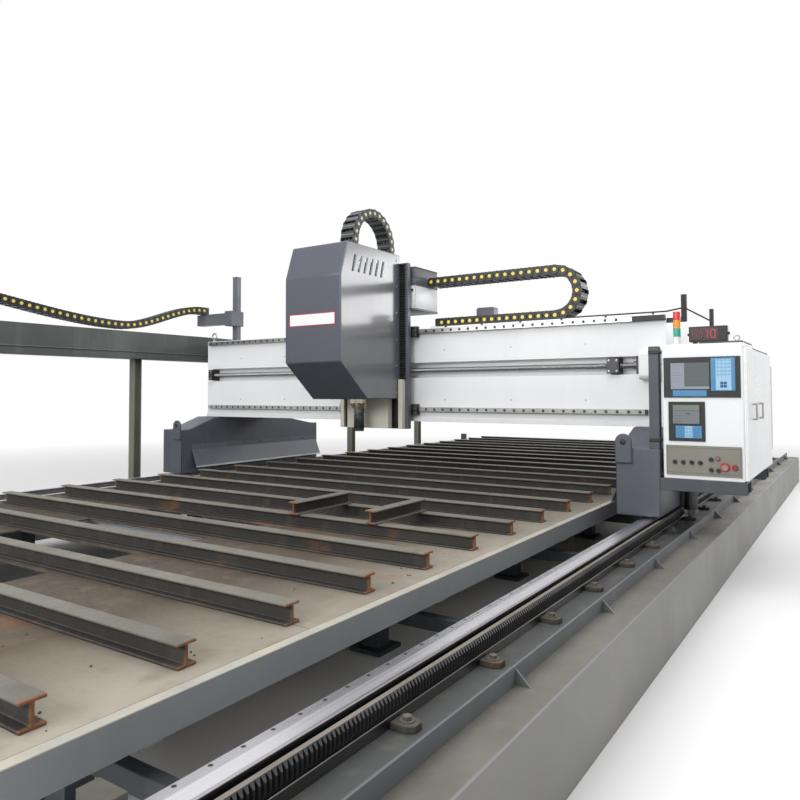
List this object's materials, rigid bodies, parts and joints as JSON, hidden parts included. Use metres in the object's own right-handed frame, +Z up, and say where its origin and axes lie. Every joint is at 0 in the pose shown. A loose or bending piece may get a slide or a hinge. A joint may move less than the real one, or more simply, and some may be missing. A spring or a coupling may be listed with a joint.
{
  "type": "gantry CNC cutting and drilling machine",
  "caption": "Gantry machine that drills and cuts steel plate, with a slatted table between two rails, a hooded drill head on a cross beam, cable chains and a control cabinet.",
  "frame": {"origin": "on the floor, under the middle leg that stands below the beam", "axes": "+Y along the rails away from the operator, +X along the gantry to the control cabinet, +Z up"},
  "size_m": [7.009, 12.6, 3.4847],
  "materials": {
    "white_paint": "satin",
    "cream_paint": "satin",
    "slate_paint": "satin",
    "green_grey_paint": "satin",
    "bed_paint": "worn",
    "bright_steel": "ground",
    "mill_steel": "scaled, with rust",
    "dark_steel": "oiled",
    "black_plastic": "matt",
    "beige_panel": "matt",
    "red_plastic": "gloss",
    "lens_plastic": "gloss"
  },
  "bodies": {
    "bed": {"bed_beams": "bed_paint", "rails": "bright_steel", "rack_bars": "dark_steel", "rail_clamps": "dark_steel", "side_trough": "bed_paint", "table_frame": "slate_paint", "deck_plates": "mill_steel", "table_legs": "slate_paint", "slats": "mill_steel", "chain_trough": "green_grey_paint", "trough_columns": "slate_paint", "gantry_chain": "black_plastic"},
    "gantry": {"truck_right": "slate_paint", "truck_left": "slate_paint", "chip_guards": "slate_paint", "drive_units": "dark_steel", "cross_beam": "white_paint", "beam_ways": "bright_steel", "screw_supports": "dark_steel", "screw_motor_cover": "white_paint", "eye_bolts": "dark_steel", "hose_post": "slate_paint", "switch_box": "slate_paint", "corner_post": "slate_paint", "cabinet": "white_paint", "cabinet_stand": "slate_paint", "cabinet_drives": "black_plastic", "operator_panels": "beige_panel", "current_meter": "black_plastic", "tower_light": "lens_plastic", "hose_lines": "black_plastic", "cross_chain": "black_plastic"},
    "carriage": {"carriage_plate": "slate_paint", "carriage_blocks": "dark_steel", "head_guides": "cream_paint", "chain_shelf": "cream_paint", "head_chain": "black_plastic"},
    "head": {"head_slide": "cream_paint", "headstock": "slate_paint", "hood": "slate_paint"},
    "spindle_body": {"spindle": "dark_steel"},
    "vertical_screw_body": {"vertical_screw": "bright_steel"},
    "cross_screw_body": {"cross_screw": "bright_steel"},
    "front_door": {"cabinet_door_front": "white_paint"},
    "rear_door": {"cabinet_door_rear": "white_paint"},
    "stop_button_body": {"emergency_stop": "red_plastic"},
    "red_button_body": {"red_button": "red_plastic"},
    "wheel_right_front_body": {"wheel_right_front": "bright_steel"},
    "wheel_right_rear_body": {"wheel_right_rear": "bright_steel"},
    "wheel_left_front_body": {"wheel_left_front": "bright_steel"},
    "wheel_left_rear_body": {"wheel_left_rear": "bright_steel"},
    "pinion_right_body": {"pinion_right": "dark_steel"},
    "pinion_left_body": {"pinion_left": "dark_steel"},
    "selector_1_body": {"selector_1": "black_plastic"},
    "selector_2_body": {"selector_2": "black_plastic"},
    "selector_3_body": {"selector_3": "black_plastic"},
    "selector_4_body": {"selector_4": "black_plastic"},
    "push_button_1_body": {"push_button_1": "black_plastic"},
    "push_button_2_body": {"push_button_2": "black_plastic"},
    "push_button_3_body": {"push_button_3": "black_plastic"}
  },
  "joints": [
    {"name": "gantry_travel", "type": "slide", "parent": "bed", "child": "gantry", "axis": [0, 1, 0], "range_m": [-3.6, 4.6], "deforming": ["gantry_chain"]},
    {"name": "carriage_travel", "type": "slide", "parent": "gantry", "child": "carriage", "axis": [1, 0, 0], "range_m": [-2.05, 1.95], "deforming": ["cross_chain"]},
    {"name": "head_feed", "type": "slide", "parent": "carriage", "child": "head", "axis": [0, 0, 1], "range_m": [-0.32, 0.05], "deforming": ["head_chain"]},
    {"name": "spindle_spin", "type": "hinge", "parent": "head", "child": "spindle_body", "pos_m": [-0.112, -1.252, 1.4], "axis": [0, 0, 1], "continuous": true},
    {"name": "vertical_screw_spin", "type": "hinge", "parent": "carriage", "child": "vertical_screw_body", "pos_m": [-0.112, -1.011, 2], "axis": [0, 0, 1], "continuous": true},
    {"name": "cross_screw_spin", "type": "hinge", "parent": "gantry", "child": "cross_screw_body", "pos_m": [0, -0.825, 1.737], "axis": [1, 0, 0], "continuous": true},
    {"name": "front_door_hinge", "type": "hinge", "parent": "gantry", "child": "front_door", "pos_m": [3.625, -1.478, 1.3], "axis": [0, 0, -1], "range_deg": [0, 110]},
    {"name": "rear_door_hinge", "type": "hinge", "parent": "gantry", "child": "rear_door", "pos_m": [3.625, 0.102, 1.3], "axis": [0, 0, 1], "range_deg": [0, 110]},
    {"name": "emergency_stop_press", "type": "slide", "parent": "gantry", "child": "stop_button_body", "axis": [0, 1, 0], "range_m": [0, 0.004], "stiffness_N_per_m": 1500},
    {"name": "red_button_press", "type": "slide", "parent": "gantry", "child": "red_button_body", "axis": [0, 1, 0], "range_m": [0, 0.004], "stiffness_N_per_m": 800},
    {"name": "wheel_right_front_roll", "type": "hinge", "parent": "gantry", "child": "wheel_right_front_body", "pos_m": [2.9, -1.12, 0.65], "axis": [1, 0, 0], "continuous": true},
    {"name": "wheel_right_rear_roll", "type": "hinge", "parent": "gantry", "child": "wheel_right_rear_body", "pos_m": [2.9, 0.692, 0.65], "axis": [1, 0, 0], "continuous": true},
    {"name": "wheel_left_front_roll", "type": "hinge", "parent": "gantry", "child": "wheel_left_front_body", "pos_m": [-2.9, -1.12, 0.65], "axis": [1, 0, 0], "continuous": true},
    {"name": "wheel_left_rear_roll", "type": "hinge", "parent": "gantry", "child": "wheel_left_rear_body", "pos_m": [-2.9, 0.692, 0.65], "axis": [1, 0, 0], "continuous": true},
    {"name": "pinion_right_spin", "type": "hinge", "parent": "gantry", "child": "pinion_right_body", "pos_m": [3.066, -0.7, 0.46], "axis": [0, 0, 1], "continuous": true},
    {"name": "pinion_left_spin", "type": "hinge", "parent": "gantry", "child": "pinion_left_body", "pos_m": [-3.066, -0.7, 0.46], "axis": [0, 0, 1], "continuous": true},
    {"name": "selector_1_turn", "type": "hinge", "parent": "gantry", "child": "selector_1_body", "pos_m": [3.116, -1.5, 0.961], "axis": [0, 1, 0], "range_deg": [-45, 45]},
    {"name": "selector_2_turn", "type": "hinge", "parent": "gantry", "child": "selector_2_body", "pos_m": [3.177, -1.5, 0.961], "axis": [0, 1, 0], "range_deg": [-45, 45]},
    {"name": "selector_3_turn", "type": "hinge", "parent": "gantry", "child": "selector_3_body", "pos_m": [3.238, -1.5, 0.961], "axis": [0, 1, 0], "range_deg": [-45, 45]},
    {"name": "selector_4_turn", "type": "hinge", "parent": "gantry", "child": "selector_4_body", "pos_m": [3.3, -1.5, 0.961], "axis": [0, 1, 0], "range_deg": [-45, 45]},
    {"name": "push_button_1_press", "type": "slide", "parent": "gantry", "child": "push_button_1_body", "axis": [0, 1, 0], "range_m": [0, 0.004], "stiffness_N_per_m": 600},
    {"name": "push_button_2_press", "type": "slide", "parent": "gantry", "child": "push_button_2_body", "axis": [0, 1, 0], "range_m": [0, 0.004], "stiffness_N_per_m": 600},
    {"name": "push_button_3_press", "type": "slide", "parent": "gantry", "child": "push_button_3_body", "axis": [0, 1, 0], "range_m": [0, 0.004], "stiffness_N_per_m": 600}
  ],
  "couplings": [
    {"joint": "vertical_screw_spin", "follows": "head_feed", "rad_per_m": 314.16},
    {"joint": "cross_screw_spin", "follows": "carriage_travel", "rad_per_m": 157.08},
    {"joint": "wheel_right_front_roll", "follows": "gantry_travel", "rad_per_m": -6.6667},
    {"joint": "wheel_right_rear_roll", "follows": "gantry_travel", "rad_per_m": -6.6667},
    {"joint": "wheel_left_front_roll", "follows": "gantry_travel", "rad_per_m": -6.6667},
    {"joint": "wheel_left_rear_roll", "follows": "gantry_travel", "rad_per_m": -6.6667},
    {"joint": "pinion_right_spin", "follows": "gantry_travel", "rad_per_m": 16.667},
    {"joint": "pinion_left_spin", "follows": "gantry_travel", "rad_per_m": -16.667}
  ]
}
